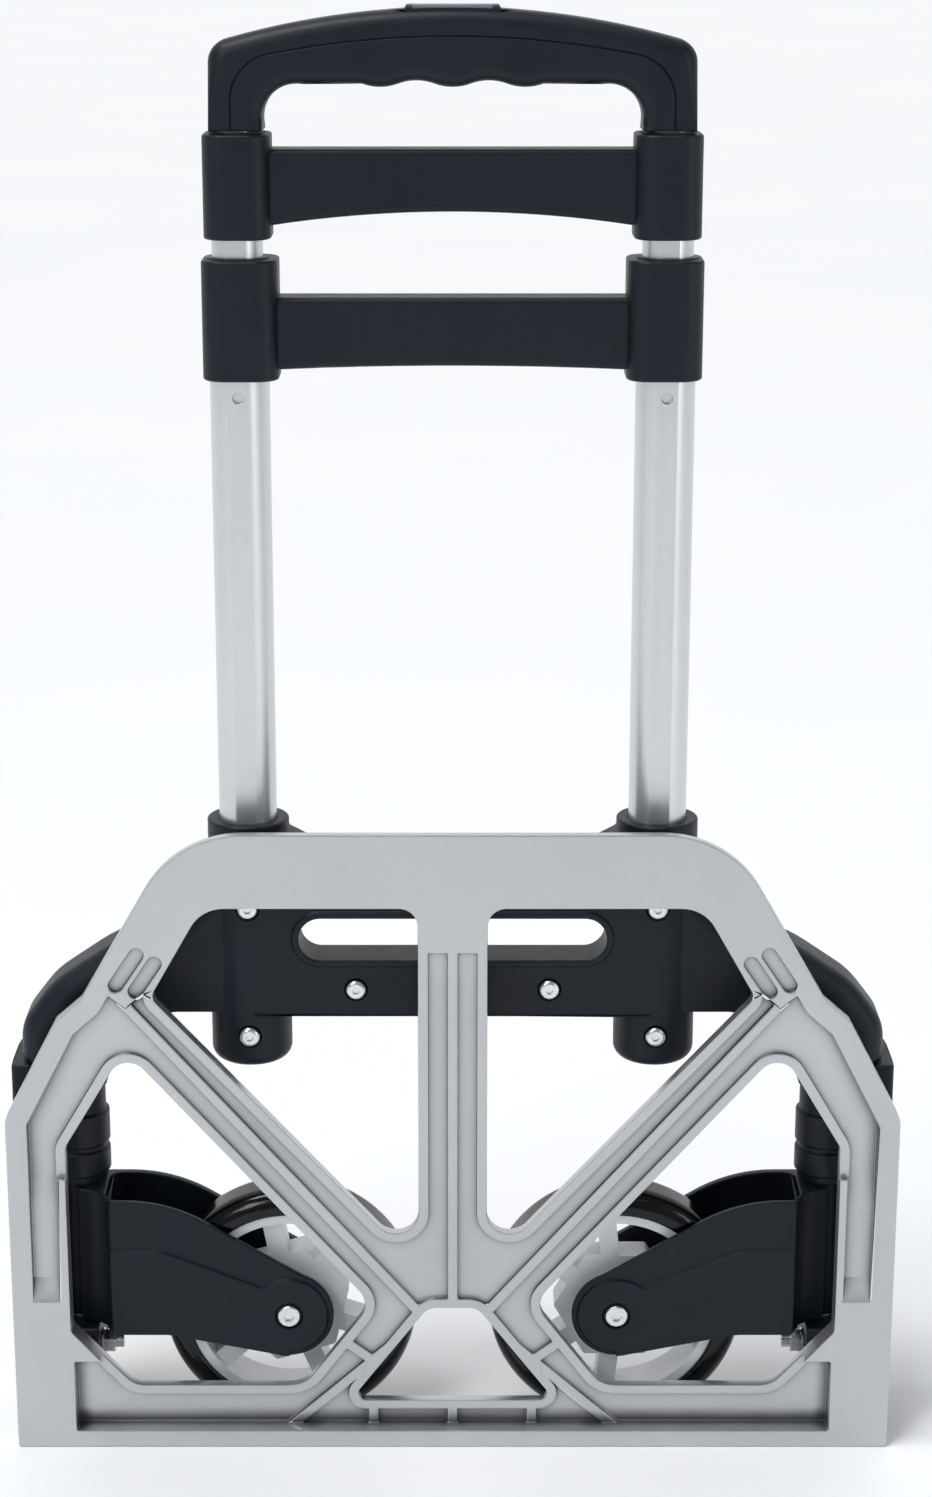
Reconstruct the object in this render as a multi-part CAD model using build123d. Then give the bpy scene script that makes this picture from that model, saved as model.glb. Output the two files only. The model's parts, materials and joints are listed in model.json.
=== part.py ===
from build123d import *
import math
import os

# A folding hand truck, folded and standing on the heel of its toe plate.
# X runs across the truck, +Y from the toe plate to the back, +Z up the handle.
# The origin is on the floor, under the middle of the folded truck. Millimetres.

# ---- overall sizes ----
plate_width = 390.0
plate_height = 288.0
leg_rear_depth = 58.0  # everything folded lies between the plate's face and this depth
tube_spacing = 178.0
half_width = plate_width / 2
front = -leg_rear_depth / 2  # depths are measured back from here, the toe plate's outer face
tube_x = tube_spacing / 2

# ---- fits ----
press = 0.05  # radial room round what is pushed in and stays
slide_fit = 0.08  # radial room round what slides or turns
gap = 0.4  # between moving castings

# ---- toe plate ----
heel_thickness = 13.0
tip_thickness = 5.0
floor_depth = 10.0  # web's outer surface at the heel
floor_depth_top = 1.5
recess_top = plate_height - 53.0
rim_width = 4.5
rim_rise = 2.0
flange_width = 9.5
lip_height = 8.0
side_height = plate_height - 130.0
top_band = 33.0
bar_width = 30.0
bar_slot_width = 6.2
rib_width = 4.5
pad_width = 26.5
pad_height = 0.45 * side_height
channel_height = 42.0
pocket_top = side_height - 28.0
pocket_ramps = (11.0, 14.0)  # heights of the lower and the upper ramp
pocket_depth = 3.0
ear_width = 9.0
ear_radius = 8.0

# ---- toe plate hinge ----
hinge_depth = 35.0
hinge_height = 35.0
hinge_bolt_radius = 3.0
hinge_head_radius = 4.6
hinge_head_height = 3.0
hinge_head_sink = 0.5
hinge_socket = (2.4, 1.6)  # radius over corners and depth
hinge_thread_end = 4.0  # bolt left over behind its nut
foot_radius = 16.0
foot_width = 25.0
foot_gap = 1.0  # between the plate's ear and the leg's foot
hinge_washer_radius = 6.0
nut_radius = 5.6
nut_length = 5.0
washer_thickness = 1.0

# ---- wheel arms ----
pivot_inset = 27.0  # from the plate's side to the pivot
pivot_depth = 44.0
pin_radius = 4.0
barrel_radius = 9.0
barrel_bottom = 47.5
barrel_height = 64.5
arm_front_depth = 15.0
cheek_thickness = 4.0
fork_gap = 30.0
step_rise = 1.4
middle_room = 16.5  # from the middle of the truck to a folded wheel
nose_radius = 20.0
pin_top = 150.0  # pivot pin

# ---- wheels ----
wheel_radius = 57.0
tyre_width = fork_gap - 4.0
tyre_thickness = 11.2
rim_radius = wheel_radius - tyre_thickness
rim_ring = 4.2
rim_depth = tyre_width - 4.0
hub_radius = 13.0
hub_plate_radius = 0.61 * rim_radius
spoke_pairs = 3
spoke_pair_angle = 48.0
spoke_width = 8.5
spoke_depth = 15.0
left_rim_turn = 77.0  # where the first pair of spokes stands at rest, in degrees
right_rim_turn = 120.0
axle_radius = 4.0
axle_head_radius = 5.0
axle_head_height = 2.2
axle_head_room = 1.2
axle_head_floor = 1.5  # depth of the bolt's seat below the arm's face
axle_socket = (2.6, 1.4)
axle_nut_radius = 7.0
axle_nut_length = 4.0
bush_radius = 6.5

# ---- side legs ----
leg_wall = 8.5
leg_front_depth = 24.0
leg_top = 174.0
boss_radius = 12.0
boss_top = leg_top - 9.0
boss_collar = 1.5  # how far the two collars stand out of the boss
foot_bottom = hinge_height - 13.0
foot_top = barrel_bottom - washer_thickness
leg_screw_height = leg_top - 5.5
leg_screw_depths = (leg_front_depth + 9.0, leg_rear_depth - 9.0)
leg_screw_length = 16.0
leg_screw_sink = 0.2
leg_bolt_socket = (2.0, 1.4)
leg_corner = 2.0

# ---- back frame ----
outer_radius = 12.5
socket_radius = outer_radius + 5.25
socket_rear_room = 2.25
socket_bottom = leg_top
socket_top = socket_bottom + 111.0
tube_depth = leg_rear_depth - socket_rear_room - socket_radius
beam_front_depth = tube_depth - socket_radius
beam_depth = 20.0
beam_bottom = socket_bottom + 25.0
beam_top = socket_top - 9.0
slot_half_width = tube_x - socket_radius - 4.25
slot_bottom = beam_bottom + 26.0
slot_height = 19.0
slot_lip = (3.0, 1.5)  # width and rise
rib_count = 4
slot_end_room = 14.0
wing_depth = 32.0
wing_wall = 6.0

# ---- tubes ----
tube_floor = 3.0
outer_wall = 1.4
middle_wall = 1.3
inner_wall = 1.2
stage_gap = 0.4  # radial room between a tube and the next
flat_cut = 0.8  # how far each flat lies inside the round
outer_flat = outer_radius - flat_cut
middle_radius = outer_radius - outer_wall - stage_gap
middle_flat = middle_radius - flat_cut
inner_radius = middle_radius - middle_wall - stage_gap
inner_flat = inner_radius - flat_cut
outer_length = 345.0
middle_length = 294.0
inner_length = 265.0
stage_travel = 185.0
lock_radius = 2.5
lock_below_top = 52.0  # lock hole below the top of its tube
plug_flange = 6.0
plug_length = 20.0

# ---- crossbars ----
tube_bottom = socket_bottom + tube_floor
outer_top = tube_bottom + outer_length
lower_collar_height = 49.6
upper_collar_height = 42.4
collar_gap = 8.4  # between the two crossbars
lower_collar_bottom = outer_top - 45.0
upper_collar_bottom = lower_collar_bottom + lower_collar_height + collar_gap
middle_top = upper_collar_bottom + 35.0
middle_bottom = middle_top - middle_length
lower_collar_out = outer_radius + 2.2  # collar's reach outboard of the tube axis
lower_collar_in = outer_radius + 4.5
upper_collar_out = middle_radius + 2.6
upper_collar_in = middle_radius + 4.0
collar_depth = 2 * outer_radius + 7.0
collar_corner = 0.3 * collar_depth
crossbar_depth = 18.0
crossbar_edge = 2.5
lower_bar_bottom = lower_collar_bottom + 4.0
lower_bar_height = 30.0
lower_bar_arch = 1.7
upper_bar_bottom = upper_collar_bottom + 5.0
upper_bar_height = 31.3
upper_bar_arch = 6.0
bar_wall = 4.0
bush_lip = 0.6  # how far a bush stands out of its collar
bush_wall = 2.2
collar_screw_sink = 1.5

# ---- handle ----
handle_bottom = upper_collar_bottom + upper_collar_height + 1.2
inner_top = handle_bottom + 11.4
inner_bottom = inner_top - inner_length
handle_half_width = tube_x + inner_radius + 1.1
grip_half_width = tube_x - inner_radius - 2.7
handle_depth = 2 * inner_flat + 8.6
handle_top = handle_bottom + 48.7
handle_shoulder = handle_bottom + 27.4
shoulder_run = 7.6  # width of the shoulder's curve
shoulder_rise = 9.0
grip_underside = handle_bottom + 18.7
grip_bend = 14.0
seam_inset = 9.0
seam_run = 15.0  # width and height of the seam's curve
seam_rise = 19.0
seam_top = handle_top - seam_inset - 2.0
finger_count = 3
finger_pitch = 0.38 * grip_half_width
finger_depth = 1.3
button_half_width = 19.3
button_depth = 19.0
button_proud = 1.0
button_travel = 2.5
button_edge = 1.2
yoke_height = 3.5
yoke_depth = 7.0
yoke_room = 0.5
yoke_bottom = handle_bottom + 23.9
yoke_top = yoke_bottom + yoke_height + 0.3
rod_radius = 2.0
rod_end_room = 4.0
guide_length = 12.0
spring_radius = 4.2
spring_wire = 0.9
spring_clearance = 0.6
handle_screw_radius = 1.5
handle_screw_head = 2.6
handle_screw_sink = 2.2
handle_screw_length = 14.0
handle_screw_head_height = 1.6
handle_screw_socket = (1.3, 1.0)

# ---- frame and collar screws ----
screw_head_radius = 4.5
screw_head_height = 2.4
screw_head_room = 0.3
screw_radius = 2.0
screw_seat = beam_front_depth + 0.8
screw_dome = 0.8 * screw_head_height
screw_socket = (1.7, 1.2)
socket_screw_length = 6.5
beam_screw_length = 12.0
beam_screw_x = 0.63 * slot_half_width
socket_screw_heights = (socket_bottom + 15.0, socket_top - 37.0)

# ---- places worked out from the sizes ----
tube_y = front + tube_depth
hinge_y = front + hinge_depth
hinge_nut_x = -half_width + ear_width + foot_gap + foot_width + washer_thickness
pivot_x = half_width - pivot_inset
pivot_y = front + pivot_depth
axle_x = wheel_radius + middle_room
wheel_y = front + arm_front_depth + cheek_thickness + fork_gap / 2
middle_pin_height = outer_top - lock_below_top - stage_travel
inner_pin_height = middle_top - lock_below_top - stage_travel

nodes = {}


# ---- drawing helpers ----
def outline(corners):
    """Face in the XZ plane from (x, z, corner radius) points."""
    points = [(x, z) for x, z, radius in corners]
    radii = [radius for x, z, radius in corners]
    return make_face(Plane.XZ * FilletPolyline(*points, radius=radii, close=True))


def both_halves(corners):
    """Corners of the left half, followed by their mirror images."""
    return corners + [(-x, z, radius) for x, z, radius in reversed(corners)]


def strip(start, end, width):
    """Straight strip of a width between two points of the XZ plane."""
    run = math.dist(start, end)
    angle = math.degrees(math.atan2(end[1] - start[1], end[0] - start[0]))
    middle = ((start[0] + end[0]) / 2, (start[1] + end[1]) / 2)
    return Plane.XZ * Pos(*middle) * Rot(0, 0, angle) * Rectangle(run, width)


def slab(face, near, far):
    """Solid of a face of the XZ plane between two depths behind the plate's face."""
    return extrude(Pos(0, front + near, 0) * face, amount=far - near, dir=(0, 1, 0))


def side_slab(points, start, end):
    """Solid of a (depth, z) polygon between two places along X."""
    placed = [(front + depth, z) for depth, z in points]
    face = make_face(Plane.YZ * Polyline(*placed, close=True))
    return extrude(Pos(start, 0, 0) * face, amount=end - start, dir=(1, 0, 0))


def rod_x(y, z, radius, start, end):
    """Round bar along X."""
    bar = Cylinder(radius, end - start, rotation=(0, 90, 0))
    return Pos((start + end) / 2, y, z) * bar


def rod_y(x, z, radius, near, far):
    """Round bar along Y between two depths."""
    bar = Cylinder(radius, far - near, rotation=(90, 0, 0))
    return Pos(x, front + (near + far) / 2, z) * bar


def rod_z(x, y, radius, bottom, top):
    """Round bar along Z."""
    return Pos(x, y, (bottom + top) / 2) * Cylinder(radius, top - bottom)


def block(low, high):
    """Box between two corners, with Y given as a depth."""
    size = [high[i] - low[i] for i in range(3)]
    centre = [(high[i] + low[i]) / 2 for i in range(3)]
    return Pos(centre[0], front + centre[1], centre[2]) * Box(*size)


def hex_socket(size):
    """Key socket of a screw, from its radius over corners and its depth."""
    radius, depth = size
    return extrude(RegularPolygon(radius, 6), amount=depth)


def other_side(shape):
    return mirror(shape, about=Plane.YZ)


def pair(shape):
    return Part() + [shape, other_side(shape)]


def add_sides(name, shape):
    """Store a left-hand piece and its mirror image as two nodes."""
    nodes["left_" + name] = shape
    nodes["right_" + name] = other_side(shape)


# ---- toe plate: a ribbed aluminium casting, thick at the heel ----
def plate_outline():
    jog = half_width - 35.0
    corners = [
        (-half_width, 0, 1.5),
        (-half_width, side_height, 12),
        (-half_width + 23.6, plate_height - 84.2, 3),
        (-jog, plate_height - 74.1, 3),
        (-jog + 42.8, plate_height, 48),
    ]
    return outline(both_halves(corners))


def upper_window():
    half_bar = bar_width / 2
    corners = [
        (-half_bar, plate_height - top_band, 8),
        (-half_bar, 86.2, 10),
        (-half_width + 65.0, plate_height - 73.2, 5),
        (-half_width + 87.9, plate_height - top_band, 16),
    ]
    return outline(corners)


def wheel_window():
    side = -half_width + 25.5
    corners = [
        (side, 56.8, 4),
        (side, side_height - 14.2, 8),
        (side + 27.4, plate_height - 97.7, 8.7),
        (-36.2, 67.8, 10),
        (-66.4, 27.0, 13.5),
        (side + 26.7, 27.0, 11.5),
    ]
    return outline(corners)


def heel_window():
    corners = [(-45.8, 19.4, 3.5), (-11.0, 65.5, 8)]
    return outline(both_halves(corners))


def plate_windows():
    upper = upper_window()
    wheel = wheel_window()
    return [upper, mirror(upper, Plane.YZ), wheel, mirror(wheel, Plane.YZ), heel_window()]


def plate_ribs():
    """Ribs of the left half, and the stubs under the heel window."""
    shoulder = (-12.5, 60.5)
    bar_head = (-half_width + 52.0, plate_height - 74.5)
    ribs = [
        strip((0, 60.0), (0, recess_top + 5), rib_width),
        strip(shoulder, bar_head, rib_width),
        strip(shoulder, (-73.0, lip_height - 2), rib_width),
        strip((-47.0, 48.0), (-32.5, 37.0), rib_width),
        strip((-35.5, lip_height - 2), (-35.5, 20.0), rib_width),
        strip((0, lip_height - 2), (0, 20.0), rib_width),
    ]
    return ribs


def recess_region():
    """Left half of the area that is sunk below the rims."""
    inside = offset(plate_outline(), amount=-flange_width)
    shape = outline(
        [
            (0.0, lip_height, 0),
            (-half_width + pad_width, lip_height, 1),
            (-half_width + pad_width, channel_height, 1),
            (-half_width + 45.0, channel_height, 0),
            (-half_width + 45.0, pocket_top, 0),
            (-half_width, pocket_top, 0),
            (-half_width, plate_height - 60.0, 0),
            (-half_width + 46.4, plate_height - 72.0, 0),
            (-half_width + 54.0, plate_height - 78.5, 0),
            (-half_width + 62.0, plate_height - 72.0, 0),
            (-half_width + 95.0, plate_height - 90.0, 0),
            (-32.0, 120.0, 0),
            (-18.0, recess_top, 0),
            (0.0, recess_top, 0),
        ]
    )
    lip = outline([(-half_width, -5, 0), (0, -5, 0), (0, 40, 0), (-half_width, 40, 0)])
    return shape & (inside + (shape & lip))


def bar_slots():
    """Two round-ended slots side by side at the head of the left diagonal bar."""
    lines = [
        ((-half_width + 59.4, plate_height - 53.8), (-half_width + 50.2, plate_height - 67.6)),
        ((-half_width + 67.0, plate_height - 57.7), (-half_width + 58.6, plate_height - 70.3)),
    ]
    slots = []
    for start, end in lines:
        slot = strip(start, end, bar_slot_width)
        for place in (start, end):
            slot += Plane.XZ * Pos(*place) * Circle(bar_slot_width / 2)
        slots.append(slot)
    return slots


def in_front_of(depth_bottom, depth_top):
    """Everything in front of a plane that leans forward towards the tip."""
    slope = (depth_top - depth_bottom) / recess_top
    high = plate_height + 10
    low = -10
    points = [
        (-30, low),
        (depth_bottom + slope * low, low),
        (depth_bottom + slope * high, high),
        (-30, high),
    ]
    return side_slab(points, -half_width - 1, half_width + 1)


def side_pocket():
    """Shallow pocket up the side bar, with a ramp at each end of its floor."""
    floor = floor_depth + (floor_depth_top - floor_depth) * pocket_top / recess_top
    lower_ramp, upper_ramp = pocket_ramps
    points = [
        (-1, pad_height),
        (0, pad_height),
        (pocket_depth, pad_height + lower_ramp),
        (pocket_depth, pocket_top - upper_ramp),
        (floor, pocket_top),
        (-1, pocket_top),
    ]
    inner = -half_width + 25.5 + 1
    return side_slab(points, -half_width + flange_width, inner)


def plate_ear():
    """Lug on the heel that turns on the hinge bolt."""
    arm = [
        (heel_thickness - 4, hinge_height - ear_radius),
        (hinge_depth, hinge_height - ear_radius),
        (hinge_depth, hinge_height + ear_radius),
        (heel_thickness - 4, hinge_height + ear_radius),
    ]
    inner = -half_width + ear_width
    ear = side_slab(arm, -half_width, inner)
    ear += rod_x(hinge_y, hinge_height, ear_radius, -half_width, inner)
    bolt_hole = hinge_bolt_radius + slide_fit
    ear -= rod_x(hinge_y, hinge_height, bolt_hole, -half_width - 1, inner + 1)
    head_hole = hinge_head_radius + gap
    seat = -half_width + hinge_head_height + hinge_head_sink
    return ear - rod_x(hinge_y, hinge_height, head_hole, -half_width - 1, seat)


def toe_plate():
    full = slab(plate_outline(), 0, heel_thickness)
    slope = (tip_thickness - heel_thickness) / plate_height
    low = -1
    high = plate_height + 1
    behind = [
        (heel_thickness + slope * low, low),
        (heel_thickness + 20, low),
        (heel_thickness + 20, high),
        (heel_thickness + slope * high, high),
    ]
    full -= side_slab(behind, -half_width - 1, half_width + 1)
    windows = plate_windows()
    rims = [offset(window, amount=rim_width) for window in windows]
    recess = recess_region()
    sunk = recess
    for rim in rims:
        sunk -= rim
    for rib in plate_ribs():
        sunk -= rib
    to_rim = in_front_of(floor_depth - rim_rise, floor_depth_top - rim_rise)
    to_floor = in_front_of(floor_depth, floor_depth_top)
    left_cut = (slab(recess, -1, 20) & to_rim) + (slab(sunk, -1, 20) & to_floor)
    left_cut += [slab(slot, -1, 20) & to_floor for slot in bar_slots()]
    pocket = side_pocket() - slab(offset(wheel_window(), amount=rim_width - 1), -2, 20)
    full -= [left_cut, other_side(left_cut), pocket, other_side(pocket)]
    full += [plate_ear(), other_side(plate_ear())]
    full -= [slab(window, -1, heel_thickness + 1) for window in windows]
    return full


nodes["toe_plate"] = toe_plate()


# ---- hinge bolts, washers and nuts ----
def hinge_bolt():
    seat = -half_width + hinge_head_height + hinge_head_sink
    end = hinge_nut_x + nut_length + hinge_thread_end
    bolt = rod_x(hinge_y, hinge_height, hinge_head_radius, seat - hinge_head_height, seat)
    bolt += rod_x(hinge_y, hinge_height, hinge_bolt_radius, seat, end)
    socket = Pos(seat - hinge_head_height, hinge_y, hinge_height) * Rot(0, 90, 0)
    return bolt - socket * hex_socket(hinge_socket)


def hinge_washer():
    start = hinge_nut_x - washer_thickness
    ring = rod_x(hinge_y, hinge_height, hinge_washer_radius, start, hinge_nut_x)
    return ring - rod_x(hinge_y, hinge_height, hinge_bolt_radius + press, start - 1, hinge_nut_x + 1)


def hinge_nut():
    hexagon = extrude(RegularPolygon(nut_radius, 6), amount=nut_length)
    nut = Pos(hinge_nut_x, hinge_y, hinge_height) * Rot(0, 90, 0) * hexagon
    hole = hinge_bolt_radius + press
    return nut - rod_x(hinge_y, hinge_height, hole, hinge_nut_x - 1, hinge_nut_x + nut_length + 1)


nodes["hinge_bolts"] = pair(hinge_bolt())
nodes["hinge_washers"] = pair(hinge_washer())
nodes["hinge_nuts"] = pair(hinge_nut())


# ---- side legs: carry the plate hinge and the wheel-arm pivots ----
def side_leg():
    outer = -half_width
    inner = outer + leg_wall
    ear_top = hinge_height + ear_radius
    foot_start = outer + ear_width + foot_gap
    foot_end = foot_start + foot_width
    rear = leg_rear_depth
    behind_ear = hinge_depth + ear_radius + 4.5
    leg = block((outer, leg_front_depth, ear_top + 0.5), (inner, rear, leg_top))
    leg += block((foot_start, hinge_depth, foot_bottom), (foot_end, rear, foot_top))
    leg += block((outer, behind_ear, foot_bottom), (foot_end, rear, foot_top))
    leg += block((outer, leg_front_depth, ear_top + 0.5), (foot_end, rear, foot_top))
    foot = rod_x(hinge_y, hinge_height, foot_radius, foot_start, foot_end)
    leg += foot & block((foot_start, 0, 0), (foot_end, rear, foot_top))
    boss_bottom = barrel_bottom + barrel_height + washer_thickness
    leg += rod_z(-pivot_x, pivot_y, boss_radius, boss_bottom, boss_top)
    for low, high in ((4, 15), (18, 33)):
        collar_radius = boss_radius + boss_collar
        leg += rod_z(-pivot_x, pivot_y, collar_radius, boss_bottom + low, boss_bottom + high)
    leg += block((outer, pivot_depth - boss_radius, boss_bottom), (-pivot_x, rear, boss_top))
    bore = hinge_bolt_radius + press
    leg -= rod_x(hinge_y, hinge_height, bore, outer + ear_width, foot_end + 1)
    leg -= rod_z(-pivot_x, pivot_y, pin_radius + press, foot_bottom - 1, pin_top)
    seat = outer + screw_head_height + leg_screw_sink
    for depth in leg_screw_depths:
        y = front + depth
        leg -= rod_x(y, leg_screw_height, screw_radius + press, outer - 1, inner + 1)
        leg -= rod_x(y, leg_screw_height, screw_head_radius + screw_head_room, outer - 1, seat)
    outer_corners = leg.edges().filter_by(Axis.Z).group_by(Axis.X)[0]
    return fillet(outer_corners, leg_corner)


def leg_screw(depth):
    y = front + depth
    start = -half_width + leg_screw_sink
    seat = start + screw_head_height
    screw = rod_x(y, leg_screw_height, screw_head_radius, start, seat)
    screw += rod_x(y, leg_screw_height, screw_radius, seat, seat + leg_screw_length)
    socket = Pos(start, y, leg_screw_height) * Rot(0, 90, 0)
    return screw - socket * hex_socket(leg_bolt_socket)


add_sides("side_leg", side_leg())
nodes["leg_screws"] = pair(Part() + [leg_screw(depth) for depth in leg_screw_depths])


# ---- pivot pins and the washers that carry the arm barrels ----
def pivot_washers():
    rings = Part()
    for bottom in (foot_top, barrel_bottom + barrel_height):
        ring = rod_z(-pivot_x, pivot_y, barrel_radius - 0.5, bottom, bottom + washer_thickness)
        hole = pin_radius + press
        rings += ring - rod_z(-pivot_x, pivot_y, hole, bottom - 1, bottom + washer_thickness + 1)
    return rings


nodes["pivot_pins"] = pair(rod_z(-pivot_x, pivot_y, pin_radius, foot_bottom, pin_top))
nodes["pivot_washers"] = pair(pivot_washers())


# ---- wheel arms: plastic forks that swing on the pivot pins ----
def arm_side_outline():
    barrel_end = -pivot_x - barrel_radius - 0.5
    top = barrel_bottom + barrel_height
    corners = [
        (barrel_end, barrel_bottom, 0),
        (barrel_end, top, 0),
        (-pivot_x + 41.0, top, 70),
        (-axle_x + 11.0, wheel_radius + nose_radius - 3.8, 0),
        (-axle_x, wheel_radius, 0),
        (-axle_x - 4.0, wheel_radius - nose_radius + 0.5, 0),
        (-pivot_x + 41.0, barrel_bottom, 30),
    ]
    return outline(corners)


def nose(radius, near, far):
    """Round end of a cheek, about the axle."""
    return rod_y(-axle_x, wheel_radius, radius, near, far)


def arm_step_outline():
    """Raised lower part of the front cheek."""
    top = barrel_bottom + barrel_height - 23.0
    corners = [
        (-pivot_x + 7.0, barrel_bottom - 1, 0),
        (-pivot_x + 7.0, top, 0),
        (-pivot_x + 39.0, top - 1.0, 20),
        (-axle_x - 13.0, wheel_radius + 14.0, 4),
        (-axle_x, wheel_radius, 0),
        (-axle_x, barrel_bottom - 30, 0),
    ]
    return outline(corners)


def arm_plan():
    """Plan of the fork: two cheeks joined round the barrel."""
    front_y = front + arm_front_depth
    rear_y = front_y + 2 * cheek_thickness + fork_gap
    bend = pivot_inset - 12.0
    corner_x = -pivot_x + bend
    nose_x = -axle_x + nose_radius + 5
    outer = Polyline((corner_x, front_y), (nose_x, front_y), (nose_x, rear_y), (-pivot_x, rear_y))
    side = Line((-pivot_x, rear_y), (-pivot_x, front_y + bend))
    corner = RadiusArc((-pivot_x, front_y + bend), (corner_x, front_y), bend)
    solid = make_face(outer.edges() + side.edges() + corner.edges())
    inner_x = -pivot_x + barrel_radius + 3.5
    centre_y = front_y + cheek_thickness + fork_gap / 2
    gap_length = nose_x + 1 - inner_x
    inside = Pos(inner_x + gap_length / 2, centre_y) * Rectangle(gap_length, fork_gap)
    inside = fillet(inside.vertices().group_by(Axis.X)[0], 6.0)
    return solid + Pos(-pivot_x, pivot_y) * Circle(barrel_radius) - inside


def wheel_arm():
    plan = Pos(0, 0, barrel_bottom - 40) * arm_plan()
    column = extrude(plan, amount=barrel_height + 60, dir=(0, 0, 1))
    side_shape = slab(arm_side_outline(), 0, leg_rear_depth)
    arm = column & (side_shape + nose(nose_radius, 0, leg_rear_depth))
    step = slab(arm_step_outline(), arm_front_depth - 1, arm_front_depth + step_rise)
    step += nose(nose_radius - 2.5, arm_front_depth - 1, arm_front_depth + step_rise)
    face = block(
        (-pivot_x + 15.0, arm_front_depth - 1, 0),
        (-axle_x + nose_radius + 5, arm_front_depth + step_rise, 200),
    )
    arm -= face - step
    arm -= rod_z(-pivot_x, pivot_y, pin_radius + slide_fit, 0, 200)
    hole = axle_radius + press
    arm -= rod_y(-axle_x, wheel_radius, hole, 0, leg_rear_depth)
    head_room = axle_head_radius + axle_head_room
    seat = arm_front_depth + axle_head_floor
    return arm - rod_y(-axle_x, wheel_radius, head_room, 0, seat)


def axle_bolt():
    seat = arm_front_depth + axle_head_floor
    rear = arm_front_depth + 2 * cheek_thickness + fork_gap + axle_nut_length - 0.4
    head = rod_y(-axle_x, wheel_radius, axle_head_radius, seat - axle_head_height, seat)
    head = fillet(head.edges().group_by(Axis.Y)[0], 0.8)
    bolt = head + rod_y(-axle_x, wheel_radius, axle_radius, seat, rear)
    socket = Pos(-axle_x, front + seat - axle_head_height, wheel_radius) * Rot(-90, 0, 0)
    return bolt - socket * hex_socket(axle_socket)


def axle_nut():
    seat = arm_front_depth + 2 * cheek_thickness + fork_gap
    hexagon = extrude(RegularPolygon(axle_nut_radius, 6), amount=axle_nut_length)
    nut = Pos(-axle_x, front + seat, wheel_radius) * Rot(-90, 0, 0) * hexagon
    return nut - rod_y(-axle_x, wheel_radius, axle_radius + press, seat - 1, seat + 6)


add_sides("wheel_arm", wheel_arm())
add_sides("axle_bolt", axle_bolt())
add_sides("axle_nut", axle_nut())


# ---- wheels: tyre, spoked rim and bush ----
def wheel_centre():
    return Pos(-axle_x, wheel_y, wheel_radius) * Rot(90, 0, 0)


def tyre():
    half = tyre_width / 2
    section = Pos(wheel_radius - (wheel_radius - rim_radius) / 2, 0) * Rectangle(
        wheel_radius - rim_radius, tyre_width
    )
    section = fillet(section.vertices().group_by(Axis.X)[-1], half * 0.65)
    section = fillet(section.vertices().group_by(Axis.X)[0], 1.5)
    ring = revolve(Plane.XZ * section, axis=Axis.Z)
    return wheel_centre() * ring


def rim_openings(seat):
    """Rounded windows between the hub plate, the ring and the spokes."""
    space = Circle(seat - rim_ring) - RegularPolygon(hub_plate_radius, 2 * spoke_pairs)
    for i in range(spoke_pairs):
        for side in (-0.5, 0.5):
            angle = 360.0 / spoke_pairs * i + spoke_pair_angle * side
            spoke = Pos(seat / 2, 0) * Rectangle(seat, spoke_width)
            space -= Rot(0, 0, angle) * spoke
    return [fillet(face.vertices(), 1.8) for face in space.faces()]


def rim(turn):
    """Wheel rim with pairs of spokes round a polygonal hub plate."""
    seat = rim_radius - press
    hub_length = fork_gap - 2.0
    body = Cylinder(seat, rim_depth)
    side_recess = Cylinder(seat - rim_ring, rim_depth)
    lift = (rim_depth + spoke_depth) / 2
    body -= [Pos(0, 0, lift) * side_recess, Pos(0, 0, -lift) * side_recess]
    body -= [extrude(face, amount=rim_depth, both=True) for face in rim_openings(seat)]
    body += Cylinder(hub_radius, hub_length)
    body -= Cylinder(bush_radius + press, hub_length + 2)
    return Rot(0, 0, turn) * body


def wheel_bush():
    length = fork_gap - 1.2
    sleeve = Cylinder(bush_radius, length) - Cylinder(axle_radius + slide_fit, length + 2)
    return wheel_centre() * sleeve


add_sides("tyre", tyre())
nodes["left_wheel_rim"] = wheel_centre() * rim(left_rim_turn)
nodes["right_wheel_rim"] = other_side(wheel_centre() * rim(180.0 - right_rim_turn))
add_sides("wheel_bush", wheel_bush())


# ---- telescopic tubes: round, with a flat at the front and the back ----
def tube_profile(radius, flat):
    return Circle(radius) & Rectangle(2 * radius, 2 * flat)


def tube_bar(radius, flat, bottom, top):
    bar = extrude(tube_profile(radius, flat), amount=top - bottom)
    return Pos(-tube_x, tube_y, bottom) * bar


def flat_tube(radius, flat, wall, bottom, top):
    tube = tube_bar(radius, flat, bottom, top)
    return tube - tube_bar(radius - wall, flat - wall, bottom - 1, top + 1)


def front_hole(flat, wall, z, radius):
    """Cutter through a tube's front wall."""
    return rod_y(-tube_x, z, radius, tube_depth - flat - 1, tube_depth - flat + wall + 1)


def outer_tube():
    tube = flat_tube(outer_radius, outer_flat, outer_wall, tube_bottom, outer_top)
    tube -= front_hole(outer_flat, outer_wall, outer_top - lock_below_top, lock_radius)
    for z in socket_screw_heights:
        tube -= front_hole(outer_flat, outer_wall, z, screw_radius + press)
    return tube


def middle_tube():
    tube = flat_tube(middle_radius, middle_flat, middle_wall, middle_bottom, middle_top)
    tube -= front_hole(middle_flat, middle_wall, middle_top - lock_below_top, lock_radius)
    return tube - front_hole(middle_flat, middle_wall, middle_pin_height, lock_radius + slide_fit)


def inner_tube():
    tube = flat_tube(inner_radius, inner_flat, inner_wall, inner_bottom, inner_top)
    return tube - front_hole(inner_flat, inner_wall, inner_pin_height, lock_radius + slide_fit)


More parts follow.
